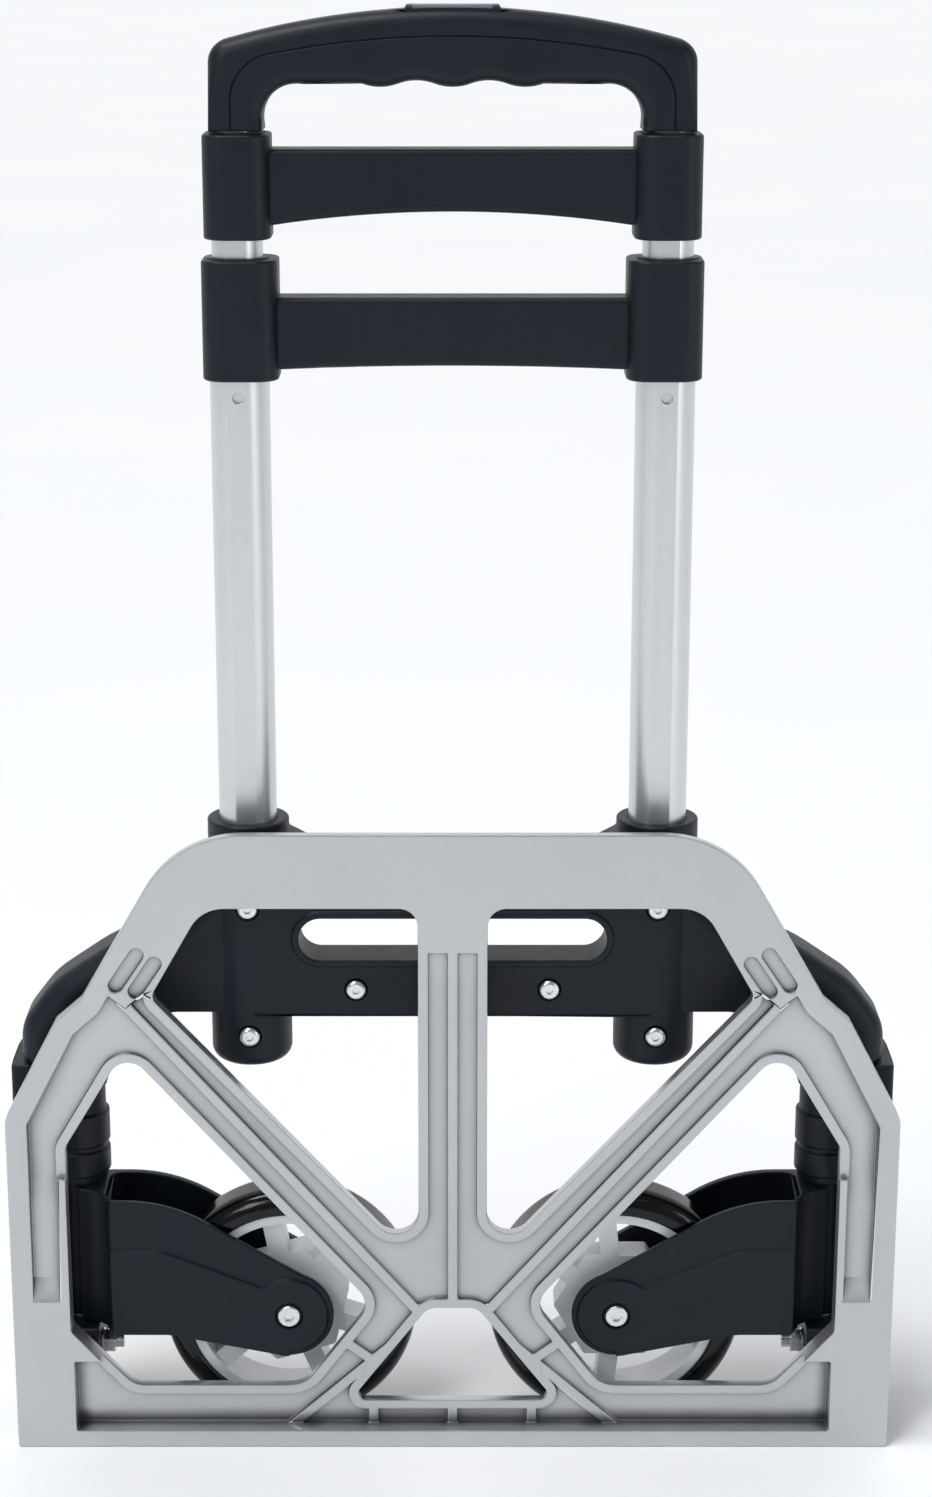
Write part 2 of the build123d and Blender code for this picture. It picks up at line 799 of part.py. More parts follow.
add_sides("outer_tube", outer_tube())
add_sides("middle_tube", middle_tube())
add_sides("inner_tube", inner_tube())


# ---- sliding plugs in the feet of the moving tubes, with their lock pins ----
def foot_plug(guide_radius, guide_flat, radius, flat, wall, bottom, pin_height):
    """Flange that runs in the larger tube, and a spigot pushed into its own tube."""
    flange = tube_bar(
        guide_radius - slide_fit, guide_flat - slide_fit, bottom - plug_flange, bottom
    )
    spigot = tube_bar(radius - wall - press, flat - wall - press, bottom, bottom + plug_length)
    pin_hole = rod_y(-tube_x, pin_height, lock_radius + slide_fit, 0, tube_depth + 6.5)
    return flange + spigot - pin_hole


def lock_pin(flat, height):
    pin = rod_y(-tube_x, height, lock_radius, tube_depth - flat, tube_depth + 3.0)
    return fillet(pin.edges().group_by(Axis.Y)[0], 0.8)


nodes["middle_tube_plugs"] = pair(
    foot_plug(
        outer_radius - outer_wall,
        outer_flat - outer_wall,
        middle_radius,
        middle_flat,
        middle_wall,
        middle_bottom,
        middle_pin_height,
    )
)
nodes["inner_tube_plugs"] = pair(
    foot_plug(
        middle_radius - middle_wall,
        middle_flat - middle_wall,
        inner_radius,
        inner_flat,
        inner_wall,
        inner_bottom,
        inner_pin_height,
    )
)
nodes["middle_lock_pins"] = pair(lock_pin(middle_flat, middle_pin_height))
nodes["top_lock_pins"] = pair(lock_pin(inner_flat, inner_pin_height))


# ---- back frame: moulded beam with tube sockets, a carry slot and two arched wings ----
def wing_x(inset):
    """Place along the wing, which is 106 long as drawn and stretches from the leg to the tube."""
    return -half_width + inset * (half_width - tube_x) / 106.0


def wing():
    outer = -half_width + leg_wall + 0.2
    corners = [
        (-tube_x, beam_bottom, 0),
        (wing_x(71.0), beam_bottom, 12),
        (-pivot_x + 17.0, leg_top + 10, 18),
        (-pivot_x + 15.0, boss_top, 0),
        (outer, boss_top, 0),
        (outer, leg_top + 1, 0),
        (-half_width + 4.5, leg_top + 1, 0),
        (-half_width + 4.5, leg_top + 18, 22),
        (wing_x(19.0), leg_top + 37, 40),
        (wing_x(44.0), leg_top + 54, 60),
        (wing_x(74.0), leg_top + 66, 30),
        (-tube_x, socket_top - 15, 0),
    ]
    arch = slab(outline(corners), leg_front_depth, leg_front_depth + wing_depth)
    top_edges = arch.edges().filter_by(lambda e: e.center().Z > leg_top + 4)
    curved = [e for e in top_edges if e.center().X < wing_x(68.0) and not runs_deep(e)]
    outside = [e for e in curved if above_arch_middle(e.center())]
    return fillet(outside, 9.0)


def runs_deep(edge):
    """True for an edge that runs front to back."""
    box = edge.bounding_box()
    return box.size.Y > 1.0


def above_arch_middle(point):
    """True on the outer side of the arch's middle line."""
    middle = leg_top + 18 + 0.62 * (point.X - wing_x(22.0))
    return point.Z > middle or point.X < -half_width + 12


def wing_pocket():
    """Hollow in the back of the wing, which leaves a wall round it."""
    corners = [
        (-tube_x - socket_radius - 3, beam_bottom + 6, 3),
        (wing_x(66.0), beam_bottom + 6, 6),
        (wing_x(47.0), leg_top + 20, 6),
        (wing_x(30.0), leg_top + 28, 4),
        (wing_x(68.0), leg_top + 54, 4),
        (-tube_x - socket_radius - 3, socket_top - 32, 3),
    ]
    rear = leg_front_depth + wing_depth
    return slab(outline(corners), leg_front_depth + wing_wall, rear + 1)


def carry_slot():
    middle = slot_bottom + slot_height / 2
    width = 2 * slot_half_width
    return Plane.XZ * Pos(0, middle) * SlotOverall(width, slot_height)


def back_frame():
    beam_rear = beam_front_depth + beam_depth
    beam = outline(
        both_halves(
            [
                (-tube_x, beam_bottom, 0),
                (-tube_x, beam_top + 5, 0),
                (-tube_x + 17.0, beam_top + 5, 3),
                (-tube_x + 27.0, beam_top, 6),
            ]
        )
    )
    body = slab(beam, beam_front_depth, beam_rear)
    body += [wing(), other_side(wing())]
    body -= [wing_pocket(), other_side(wing_pocket())]
    rib_spacing = 2 * (slot_half_width - slot_end_room) / rib_count
    lower_row = (beam_bottom + 4, slot_bottom - 6)
    upper_row = (slot_bottom + slot_height + 6, beam_top - 4)
    for low, high in (lower_row, upper_row):
        for i in range(rib_count):
            x = (i - (rib_count - 1) / 2) * rib_spacing
            half = rib_spacing / 2 - 1.5
            pocket = (x - half, beam_front_depth + 5, low)
            body -= block(pocket, (x + half, beam_rear + 1, high))
    lip_width, lip_rise = slot_lip
    lip = offset(carry_slot(), amount=lip_width) - carry_slot()
    body += slab(lip, beam_front_depth - lip_rise, beam_rear)
    socket = rod_z(-tube_x, tube_y, socket_radius, socket_bottom, socket_top)
    socket = fillet(socket.edges().group_by(Axis.Z)[0], 6.0)
    body += [socket, other_side(socket)]
    bore = tube_bar(outer_radius + press, outer_flat + press, tube_bottom, socket_top + 1)
    body -= [bore, other_side(bore), slab(carry_slot(), 0, leg_rear_depth)]
    for x, z in frame_screw_places():
        body -= rod_y(x, z, screw_radius + press, 0, screw_end(x))
        body -= rod_y(x, z, screw_head_radius + screw_head_room, 0, screw_seat)
    for depth in leg_screw_depths:
        for side in (-1, 1):
            start, end = sorted((side * (half_width - leg_wall), side * (half_width - 22.0)))
            hole = screw_radius + press
            body -= rod_x(front + depth, leg_screw_height, hole, start, end)
    return body


def frame_screw_places():
    places = []
    for side in (-1, 1):
        places += [(side * tube_x, z) for z in socket_screw_heights]
        places.append((side * beam_screw_x, beam_bottom + 12.0))
    return places


def screw_end(x):
    """Tapped holes end in the tube, or in the thickness of the beam."""
    if abs(x) > tube_x - 1:
        return tube_depth - outer_flat + outer_wall
    return screw_seat + beam_screw_length + 0.5


def dome_screw(x, z, length):
    """Round-headed socket screw with its head to the front."""
    top = screw_seat - screw_head_height
    head = rod_y(x, z, screw_head_radius, top, screw_seat)
    head = fillet(head.edges().group_by(Axis.Y)[0], screw_dome)
    screw = head + rod_y(x, z, screw_radius, screw_seat, screw_seat + length)
    return screw - Pos(x, front + top, z) * Rot(-90, 0, 0) * hex_socket(screw_socket)


nodes["back_frame"] = back_frame()
nodes["socket_screws"] = Part() + [
    dome_screw(x, z, socket_screw_length) for x, z in frame_screw_places() if abs(x) > tube_x - 1
]
nodes["beam_screws"] = Part() + [
    dome_screw(x, z, beam_screw_length) for x, z in frame_screw_places() if abs(x) < tube_x - 1
]


# ---- crossbars: a collar on each tube and an arched bar between them ----
def collar(out, inboard, bottom, height):
    width = out + inboard
    profile = Rectangle(width, collar_depth)
    profile = fillet(profile.vertices(), collar_corner)
    middle = -tube_x + (inboard - out) / 2
    piece = Pos(middle, tube_y, bottom) * extrude(profile, amount=height)
    ends = piece.edges().group_by(Axis.Z)
    return fillet(ends[0] + ends[-1], 1.2)


def crossbar(sizes):
    """One moulding, from its collar and bar sizes."""
    piece = collar(sizes["out"], sizes["inboard"], sizes["bottom"], sizes["height"])
    piece = piece + other_side(piece)
    start = -tube_x + sizes["inboard"] - 3
    low = sizes["bar_bottom"]
    high = low + sizes["bar_height"]
    sides = Polyline((start, low), (start, high), (-start, high), (-start, low))
    arch = ThreePointArc((-start, low), (0, low + sizes["arch"]), (start, low))
    face = make_face([Plane.XZ * edge for edge in sides.edges() + arch.edges()])
    near = tube_depth - crossbar_depth / 2
    bar = slab(face, near, near + crossbar_depth)
    long_edges = [e for e in bar.edges() if e.length > tube_x]
    bar = fillet(long_edges, crossbar_edge)
    rear_pocket = block(
        (start + 12, tube_depth, low + sizes["arch"] + bar_wall),
        (-start - 12, tube_depth + crossbar_depth, high - bar_wall),
    )
    piece += bar - rear_pocket
    bore = tube_bar(sizes["tube"] + press, sizes["flat"] + press, sizes["bottom"] - 1, sizes["seat"])
    wide = rod_z(-tube_x, tube_y, sizes["bush"] + press, sizes["seat"], sizes["bottom"] + 99)
    piece -= [bore, wide, other_side(bore), other_side(wide)]
    for side in (-1, 1):
        z = sizes["bottom"] + sizes["height"] / 3
        rear = tube_depth + collar_depth / 2
        seat = rear - collar_screw_sink
        piece -= rod_y(side * tube_x, z, screw_radius + press, tube_depth, rear)
        piece -= rod_y(side * tube_x, z, screw_head_radius + screw_head_room, seat, rear + 5)
    return piece


def collar_screw(sizes):
    """Screw at the back of a collar that holds it to its tube."""
    z = sizes["bottom"] + sizes["height"] / 3
    rear = tube_depth + collar_depth / 2 - collar_screw_sink
    head = rod_y(-tube_x, z, screw_head_radius, rear, rear + screw_head_height)
    head = fillet(head.edges().group_by(Axis.Y)[-1], screw_dome)
    return head + rod_y(-tube_x, z, screw_radius, tube_depth + sizes["flat"] + 0.1, rear)


def tube_bush(sizes):
    """Ring at a tube's mouth that guides the tube inside it."""
    bottom = sizes["seat"]
    ring = rod_z(-tube_x, tube_y, sizes["bush"], bottom, bottom + sizes["bush_height"])
    running = (sizes["runner"] + slide_fit, sizes["runner_flat"] + slide_fit)
    return ring - tube_bar(*running, bottom - 1, bottom + 99)


lower_sizes = {
    "out": lower_collar_out,
    "inboard": lower_collar_in,
    "bottom": lower_collar_bottom,
    "height": lower_collar_height,
    "bar_bottom": lower_bar_bottom,
    "bar_height": lower_bar_height,
    "arch": lower_bar_arch,
    "tube": outer_radius,
    "flat": outer_flat,
    "seat": outer_top,
    "bush": middle_radius + bush_wall,
    "bush_height": lower_collar_bottom + lower_collar_height - outer_top + bush_lip,
    "runner": middle_radius,
    "runner_flat": middle_flat,
}
upper_sizes = {
    "out": upper_collar_out,
    "inboard": upper_collar_in,
    "bottom": upper_collar_bottom,
    "height": upper_collar_height,
    "bar_bottom": upper_bar_bottom,
    "bar_height": upper_bar_height,
    "arch": upper_bar_arch,
    "tube": middle_radius,
    "flat": middle_flat,
    "seat": middle_top,
    "bush": inner_radius + bush_wall,
    "bush_height": upper_collar_bottom + upper_collar_height - middle_top + bush_lip,
    "runner": inner_radius,
    "runner_flat": inner_flat,
}
nodes["lower_crossbar"] = crossbar(lower_sizes)
nodes["upper_crossbar"] = crossbar(upper_sizes)
nodes["lower_collar_screws"] = pair(collar_screw(lower_sizes))
nodes["upper_collar_screws"] = pair(collar_screw(upper_sizes))
nodes["outer_tube_bushes"] = pair(tube_bush(lower_sizes))
nodes["middle_tube_bushes"] = pair(tube_bush(upper_sizes))


# ---- handle: a top shell and a grip shell that meet along a seam, round the inner tubes ----
def handle_outline():
    corner_x = -handle_half_width
    left = [
        (corner_x, handle_bottom),
        (corner_x, handle_shoulder),
        (corner_x + 0.27 * shoulder_run, handle_shoulder + 0.62 * shoulder_rise),
        (corner_x + shoulder_run, handle_shoulder + shoulder_rise),
    ]
    sides = Polyline(*left[:2])
    shoulder = ThreePointArc(left[1], left[2], left[3])
    crown = ThreePointArc(left[3], (0, handle_top), (-left[3][0], left[3][1]))
    grip_x = -grip_half_width
    bend = grip_bend
    under = grip_underside
    inner_side = Line((grip_x, handle_bottom), (grip_x, under - bend))
    inner_bend = RadiusArc((grip_x, under - bend), (grip_x + bend, under), bend)
    halves = [sides, shoulder, inner_side, inner_bend, Line((grip_x, handle_bottom), left[0])]
    edges = [crown.edge()]
    for piece in halves:
        edges += [piece.edge(), mirror(piece, Plane.YZ).edge()]
    start = -(finger_count - 0.5) / 2 * finger_pitch
    edges.append(Line((grip_x + bend, under), (start, under)).edge())
    edges.append(Line((-start, under), (-grip_x - bend, under)).edge())
    for i in range(2 * finger_count - 1):
        x = start + finger_pitch / 2 * i
        crest = under - finger_depth if i % 2 == 0 else under + finger_depth
        wave = ThreePointArc((x, under), (x + finger_pitch / 4, crest), (x + finger_pitch / 2, under))
        edges.append(wave.edge())
    return make_face([Plane.XZ * edge for edge in edges])


def handle_body():
    near = tube_depth - handle_depth / 2
    body = slab(handle_outline(), near, near + handle_depth)
    tube_room = tube_bar(inner_radius + press, inner_flat + press, handle_bottom - 1, inner_top)
    spring_room = rod_z(-tube_x, tube_y, spring_radius + spring_clearance, inner_top - 1, yoke_top)
    body -= [tube_room, other_side(tube_room), spring_room, other_side(spring_room)]
    channel_end = tube_x + rod_radius + 1.5
    channel_half = yoke_depth / 2 + yoke_room
    floor = yoke_bottom - button_travel - 0.2
    body -= block(
        (-channel_end, tube_depth - channel_half, floor),
        (channel_end, tube_depth + channel_half, yoke_top),
    )
    room = gap / 2
    button_room = block(
        (-button_half_width - room, tube_depth - button_depth / 2 - room, yoke_top - 3),
        (button_half_width + room, tube_depth + button_depth / 2 + room, handle_top + 20),
    )
    body -= button_room
    seat = grip_underside + handle_screw_sink
    for x, depth in handle_screw_places():
        hole = handle_screw_radius + press
        body -= rod_z(x, front + depth, hole, seat - 1, seat + handle_screw_length + 1)
        body -= rod_z(x, front + depth, handle_screw_head + screw_head_room, seat - 20, seat)
    return body


def handle_screw_places():
    offset_x = grip_half_width - grip_bend - 5.0
    offset_y = yoke_depth / 2 + 3.5
    return [
        (side * offset_x, tube_depth + back * offset_y) for side in (-1, 1) for back in (-1, 1)
    ]


def handle_screw(x, depth):
    """Screw up through the grip shell into the top shell."""
    seat = grip_underside + handle_screw_sink
    y = front + depth
    bottom = seat - handle_screw_head_height
    screw = rod_z(x, y, handle_screw_head, bottom, seat)
    screw += rod_z(x, y, handle_screw_radius, seat, seat + handle_screw_length)
    return screw - Pos(x, y, bottom) * hex_socket(handle_screw_socket)


def grip_side_of_seam():
    """Everything on the finger side of the seam that follows the handle's outer edge."""
    side_x = -handle_half_width + seam_inset
    turn_z = handle_bottom + 11.4
    crown_x = side_x + seam_run
    crown_z = turn_z + seam_rise
    bend_middle = (side_x + 0.28 * seam_run, turn_z + 0.65 * seam_rise)
    left = [
        Line((side_x, handle_bottom - 1), (side_x, turn_z)),
        ThreePointArc((side_x, turn_z), bend_middle, (crown_x, crown_z)),
    ]
    crown = ThreePointArc((crown_x, crown_z), (0, seam_top), (-crown_x, crown_z))
    base = Line((side_x, handle_bottom - 1), (-side_x, handle_bottom - 1))
    edges = [crown.edge(), base.edge()]
    for piece in left:
        edges += [piece.edge(), mirror(piece, Plane.YZ).edge()]
    near = tube_depth - handle_depth / 2 - 1
    return slab(make_face([Plane.XZ * edge for edge in edges]), near, near + handle_depth + 2)


nodes["handle_top_shell"] = handle_body() - grip_side_of_seam()
nodes["handle_grip_shell"] = handle_body() & grip_side_of_seam()
nodes["handle_screws"] = Part() + [handle_screw(*place) for place in handle_screw_places()]


# ---- release button, the yoke under it and the rods down the inner tubes ----
def release_button():
    top = handle_top + button_proud
    low = (-button_half_width, tube_depth - button_depth / 2, yoke_bottom + yoke_height)
    button = block(low, (button_half_width, tube_depth + button_depth / 2, top))
    return fillet(button.edges().group_by(Axis.Z)[-1], button_edge)


def push_yoke():
    end = tube_x + rod_radius + 1.0
    low = (-end, tube_depth - yoke_depth / 2, yoke_bottom)
    return block(low, (end, tube_depth + yoke_depth / 2, yoke_bottom + yoke_height))


def push_rod():
    bottom = inner_bottom + plug_length + rod_end_room
    return rod_z(-tube_x, tube_y, rod_radius, bottom, yoke_bottom)


def rod_guide():
    """Cap in the top of the inner tube that guides the rod and seats its spring."""
    radius = inner_radius - inner_wall - press
    flat = inner_flat - inner_wall - press
    bottom = inner_top - guide_length
    bar = tube_bar(radius, flat, bottom, inner_top)
    return bar - rod_z(-tube_x, tube_y, rod_radius + slide_fit, bottom - 1, inner_top + 1)


def return_spring():
    ring = rod_z(-tube_x, tube_y, spring_radius, inner_top, yoke_bottom)
    inside = spring_radius - spring_wire
    return ring - rod_z(-tube_x, tube_y, inside, inner_top - 1, yoke_bottom + 1)


nodes["release_button"] = release_button()
nodes["push_yoke"] = push_yoke()
nodes["push_rods"] = pair(push_rod())
nodes["rod_guides"] = pair(rod_guide())
nodes["return_springs"] = pair(return_spring())


# ---- one file for each node ----
os.makedirs("parts", exist_ok=True)
for name, shape in nodes.items():
    shape.label = name
    export_step(shape, "parts/" + name + ".step")
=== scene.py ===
import json
import math

import bpy
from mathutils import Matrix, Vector


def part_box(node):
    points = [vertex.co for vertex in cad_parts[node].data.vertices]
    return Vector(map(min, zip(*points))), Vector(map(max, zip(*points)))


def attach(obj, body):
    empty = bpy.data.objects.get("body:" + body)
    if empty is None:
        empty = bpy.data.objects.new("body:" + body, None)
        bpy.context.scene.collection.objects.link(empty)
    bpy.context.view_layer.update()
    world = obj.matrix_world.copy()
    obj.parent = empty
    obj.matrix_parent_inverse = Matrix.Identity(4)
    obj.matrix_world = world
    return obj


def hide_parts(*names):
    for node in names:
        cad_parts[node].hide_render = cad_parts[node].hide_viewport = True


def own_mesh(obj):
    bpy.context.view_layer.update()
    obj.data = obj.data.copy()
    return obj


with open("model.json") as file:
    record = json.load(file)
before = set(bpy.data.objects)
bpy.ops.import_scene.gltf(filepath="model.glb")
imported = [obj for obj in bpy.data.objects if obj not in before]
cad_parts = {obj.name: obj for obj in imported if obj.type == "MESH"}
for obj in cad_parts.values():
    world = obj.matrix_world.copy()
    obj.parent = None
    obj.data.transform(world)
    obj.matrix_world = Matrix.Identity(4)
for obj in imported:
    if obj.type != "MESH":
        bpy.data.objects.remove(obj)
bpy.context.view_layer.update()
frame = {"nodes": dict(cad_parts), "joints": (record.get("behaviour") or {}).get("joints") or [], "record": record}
nodes = frame["nodes"]
bodies = frame["record"]["behaviour"]["bodies"]
body_of_node = {node: body for body, group in bodies.items() for node in group}
slot_of_node = {part["node"]: part["material_slot"] for part in frame["record"]["subparts"]}

# ---- studio ----
# A plain pale floor, a soft key from the upper left, a fill from the right, wide light from above
# and a pale room. The camera looks slightly down on the front of the folded truck.
FLOOR_SIZE = 60.0
TRUCK_MIDDLE = (0.0, 0.0, 0.35)
CAMERA_PLACE = (0.0, -1.2397, 0.6706)
CAMERA_TILT = math.radians(90.0 - 15.874)
CAMERA_LENS = 72.14
CAMERA_SHIFT = 0.0089

camera_data = bpy.data.cameras.new("camera")
camera_data.lens = CAMERA_LENS
camera_data.sensor_width = 36.0
camera_data.shift_x = CAMERA_SHIFT
camera = bpy.data.objects.new("camera", camera_data)
camera.location = CAMERA_PLACE
camera.rotation_euler = (CAMERA_TILT, 0.0, 0.0)
bpy.context.scene.collection.objects.link(camera)
bpy.context.scene.camera = camera
bpy.context.scene.view_settings.view_transform = "Standard"


def soft_light(name, place, size, power):
    """Rectangular soft box that faces the middle of the truck."""
    light = bpy.data.lights.new(name, "AREA")
    light.shape = "RECTANGLE"
    light.size, light.size_y = size
    light.energy = power
    lamp = bpy.data.objects.new(name, light)
    lamp.location = place
    aim = Vector(TRUCK_MIDDLE) - Vector(place)
    lamp.rotation_euler = aim.to_track_quat("-Z", "Y").to_euler()
    bpy.context.scene.collection.objects.link(lamp)


soft_light("key_light", (-1.3, -2.0, 1.9), (0.7, 0.9), 15.0)
soft_light("fill_light", (1.9, -1.2, 0.9), (0.5, 1.4), 7.0)

sun_data = bpy.data.lights.new("wide_light", "SUN")
sun_data.energy = 2.0
sun_data.angle = math.radians(24.0)
sun = bpy.data.objects.new("wide_light", sun_data)
sun.rotation_euler = Vector((-0.30, -0.16, 0.94)).to_track_quat("Z", "Y").to_euler()
bpy.context.scene.collection.objects.link(sun)


class Wire:
    """A socket that can be used in sums, so that shader maths reads as its formula."""

    def __init__(self, mixer, socket):
        self.mixer = mixer
        self.socket = socket

    def math(self, operation, first, second):
        return self.mixer.node("ShaderNodeMath", {"operation": operation}, {0: first, 1: second})

    def __add__(self, other):
        return self.math("ADD", self, other)

    def __radd__(self, other):
        return self.math("ADD", other, self)

    def __mul__(self, other):
        return self.math("MULTIPLY", self, other)

    def __rmul__(self, other):
        return self.math("MULTIPLY", other, self)


class Mixer:
    """A tree of nodes that feed one shader: node() adds any node and gives back one of its outputs."""

    def __init__(self, tree, shader):
        self.tree = tree
        self.shader = tree.nodes[shader]

    def feed(self, socket, value):
        """Set a socket of the shader, or link a wire to it."""
        target = self.shader.inputs[socket]
        if isinstance(value, Wire):
            self.tree.links.new(value.socket, target)
        else:
            target.default_value = value

    def node(self, kind, settings=None, sockets=None, output=0):
        made = self.tree.nodes.new(kind)
        for key, value in (settings or {}).items():
            if key == "stops":
                for stop, (position, colour) in zip(made.color_ramp.elements, value):
                    stop.position = position
                    stop.color = colour
            else:
                setattr(made, key, value)
        for key, value in (sockets or {}).items():
            if isinstance(value, Wire):
                self.tree.links.new(value.socket, made.inputs[key])
            else:
                made.inputs[key].default_value = value
        return Wire(self, made.outputs[output])


class Finish(Mixer):
    """The material of one finish, whose patterns lie in the truck's own frame."""

    def __init__(self, name, **shader_values):
        self.material = bpy.data.materials.new(name)
        self.material.use_nodes = True
        super().__init__(self.material.node_tree, "Principled BSDF")
        self.place = self.node("ShaderNodeTexCoord", output="Object")
        for key, value in shader_values.items():
            self.feed(key.replace("_", " ").title().replace("Ior", "IOR"), value)

    def noise(self, scale, detail=3.0, stretch=(1.0, 1.0, 1.0), roughness=0.5):
        """Grain of a size, in cycles per metre, drawn out along an axis by its stretch."""
        place = self.node("ShaderNodeMapping", {}, {"Vector": self.place, "Scale": stretch})
        sockets = {"Vector": place, "Scale": scale, "Detail": detail, "Roughness": roughness}
        return self.node("ShaderNodeTexNoise", {}, sockets, "Fac")

    def band(self, value, low, high, new_low=0.0, new_high=1.0):
        """Stretch a range of a wire's values to a new range."""
        sockets = {"Value": value, "From Min": low, "From Max": high}
        sockets.update({"To Min": new_low, "To Max": new_high})
        return self.node("ShaderNodeMapRange", {}, sockets)

    def height(self):
        """Height above the floor, in metres."""
        return self.node("ShaderNodeSeparateXYZ", {}, {0: self.place}, "Z")

    def mix(self, mask, first, second):
        """Colour that goes from the first to the second as the mask goes from 0 to 1."""
        sockets = {0: mask, 6: first, 7: second}
        return self.node("ShaderNodeMix", {"data_type": "RGBA"}, sockets, 2)

    def hollow(self, distance, inside=False):
        """1 in the open and less in a groove or, from the inside, less at a corner that stands out."""
        settings = {"inside": inside, "only_local": True, "samples": 8}
        return self.node("ShaderNodeAmbientOcclusion", settings, {"Distance": distance}, "AO")

    def grain(self, height, depth, strength=1.0):
        """Bump the surface by a height wire, in metres of depth."""
        sockets = {"Strength": strength, "Distance": depth, "Height": height}
        self.feed("Normal", self.node("ShaderNodeBump", {}, sockets))


def floor_finish():
    finish = Finish("pale_floor", Roughness=0.55)
    tone = finish.band(finish.noise(1.5), 0.3, 0.7)
    finish.feed("Base Color", finish.mix(tone, (0.86, 0.87, 0.88, 1.0), (0.88, 0.885, 0.89, 1.0)))
    return finish.material


bpy.ops.object.select_all(action="DESELECT")
bpy.ops.mesh.primitive_plane_add(size=FLOOR_SIZE, location=(0.0, 0.0, 0.0))
floor = bpy.context.object
floor.name = "floor"
floor.data.materials.append(floor_finish())

# The room is grey in front of the truck, which its face reflects, and bright behind it.
ROOM_FRONT = (0.05, (0.27, 0.285, 0.31, 1.0))
ROOM_BACK = (0.75, (1.0, 1.0, 1.0, 1.0))

world = bpy.data.worlds.new("studio")
bpy.context.scene.world = world
world.use_nodes = True
room = Mixer(world.node_tree, "Background")
outward = room.node("ShaderNodeTexCoord", output="Generated")
backward = room.node("ShaderNodeSeparateXYZ", {}, {0: outward}, "Y")
shade = room.node("ShaderNodeValToRGB", {"stops": (ROOM_FRONT, ROOM_BACK)}, {"Fac": backward})
room.feed("Color", shade)


# ---- toe plate ----
# One aluminium die casting, ribbed on its underside and windowed to save weight. It is blasted
# and painted silver, with painted shade darkening its grooves and a painted highlight in a bright
# bare-metal colour at its corners, and turns on two lugs at its heel.
PLATE_EDGE = 0.0007
GROOVE_SHADE_REACH = 0.007  # how far from a wall its groove still looks dark
CORNER_HIGHLIGHT_REACH = 0.0012
SCUFF_TOP = 0.012  # the heel's paint is dulled by the floor up to here
BROAD_FACE = 0.00002  # square metres
SLIGHT_ANGLE = math.radians(4.0)


def keep_inside(piece, box):
    """Bring back any corner that the rounding has pushed out of the piece's own box."""
    for vertex in piece.data.vertices:
        places = zip(box[0], vertex.co, box[1])
        vertex.co = [min(max(place, low), high) for low, place, high in places]


def take_up(piece):
    """Select one piece alone, ready for an operator."""
    bpy.ops.object.select_all(action="DESELECT")
    bpy.context.view_layer.objects.active = piece
    piece.select_set(True)


def eased_copy(node, edge, steps=2, sharp=32.0):
    """Copy of a CAD node whose corners are rounded by a small radius, as made parts are."""
    piece = bpy.data.objects.new(node + "_finished", nodes[node].data.copy())
    bpy.context.scene.collection.objects.link(piece)
    take_up(piece)
    if piece.data.has_custom_normals:
        bpy.ops.mesh.customdata_custom_splitnormals_clear()
    bpy.ops.object.mode_set(mode="EDIT")
    bpy.ops.mesh.select_all(action="SELECT")
    bpy.ops.mesh.remove_doubles(threshold=1e-6)
    bpy.ops.mesh.dissolve_limited(angle_limit=math.radians(0.5))
    bpy.ops.mesh.quads_convert_to_tris()
    bpy.ops.object.mode_set(mode="OBJECT")
    if edge:
        bevel = piece.modifiers.new("eased corners", "BEVEL")
        bevel.width = edge
        bevel.segments = steps
        bevel.limit_method = "ANGLE"
        bevel.angle_limit = math.radians(sharp)
        bevel.use_clamp_overlap = False
        bevel.loop_slide = False
        bpy.ops.object.modifier_apply(modifier=bevel.name)
    keep_inside(piece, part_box(node))
    bpy.ops.object.shade_smooth_by_angle(angle=math.radians(sharp))
    piece.data.materials.clear()
    return piece


def stand_for(piece, node, material):
    """Let a finished piece take a CAD node's place, on its body and with its material slot."""
    take_up(piece)
    even = piece.modifiers.new("even shading", "WEIGHTED_NORMAL")
    even.keep_sharp = True
    bpy.ops.object.modifier_apply(modifier=even.name)
    piece.data.materials.append(material)
    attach(piece, body_of_node[node])
    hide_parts(node)


def cast_finish():
    finish = Finish("silver_painted_casting", Metallic=0.85)
    cloud = finish.noise(14.0, 4.0)
    fleck = finish.noise(1500.0, 2.0)
    flow = finish.noise(70.0, 3.0, (1.0, 1.0, 0.35))
    tone = finish.band(0.55 * cloud + 0.3 * flow + 0.15 * fleck, 0.36, 0.64)
    paint = finish.mix(tone, (0.50, 0.508, 0.52, 1.0), (0.56, 0.565, 0.572, 1.0))
    # painted shade: ambient occlusion darkens the paint in grooves and recesses towards a dark grey
    groove = finish.band(finish.hollow(GROOVE_SHADE_REACH), 0.55, 0.95)
    # painted highlight: corners that stand out are painted a bright bare-metal colour
    corner_highlight = finish.band(finish.hollow(CORNER_HIGHLIGHT_REACH, True), 0.62, 0.35)
    groove_shaded_paint = finish.mix(groove, (0.13, 0.135, 0.145, 1.0), paint)
    finish.feed("Base Color", finish.mix(corner_highlight, groove_shaded_paint, (0.80, 0.805, 0.81, 1.0)))
    scuff = finish.band(finish.height(), SCUFF_TOP, 0.0, 0.0, 0.12)
    finish.feed("Roughness", finish.band(flow, 0.3, 0.7, 0.28, 0.38) + scuff * fleck)
    skin = finish.noise(900.0, 3.0)
    finish.grain(0.7 * skin + 0.3 * fleck, 0.00006)
    return finish.material


def faces_of_edges(piece):
    """The faces that meet at each edge, by the edge's key."""
    faces = {}
    for polygon in piece.data.polygons:
        for key in polygon.edge_keys:
            faces.setdefault(key, []).append(polygon)
    return faces


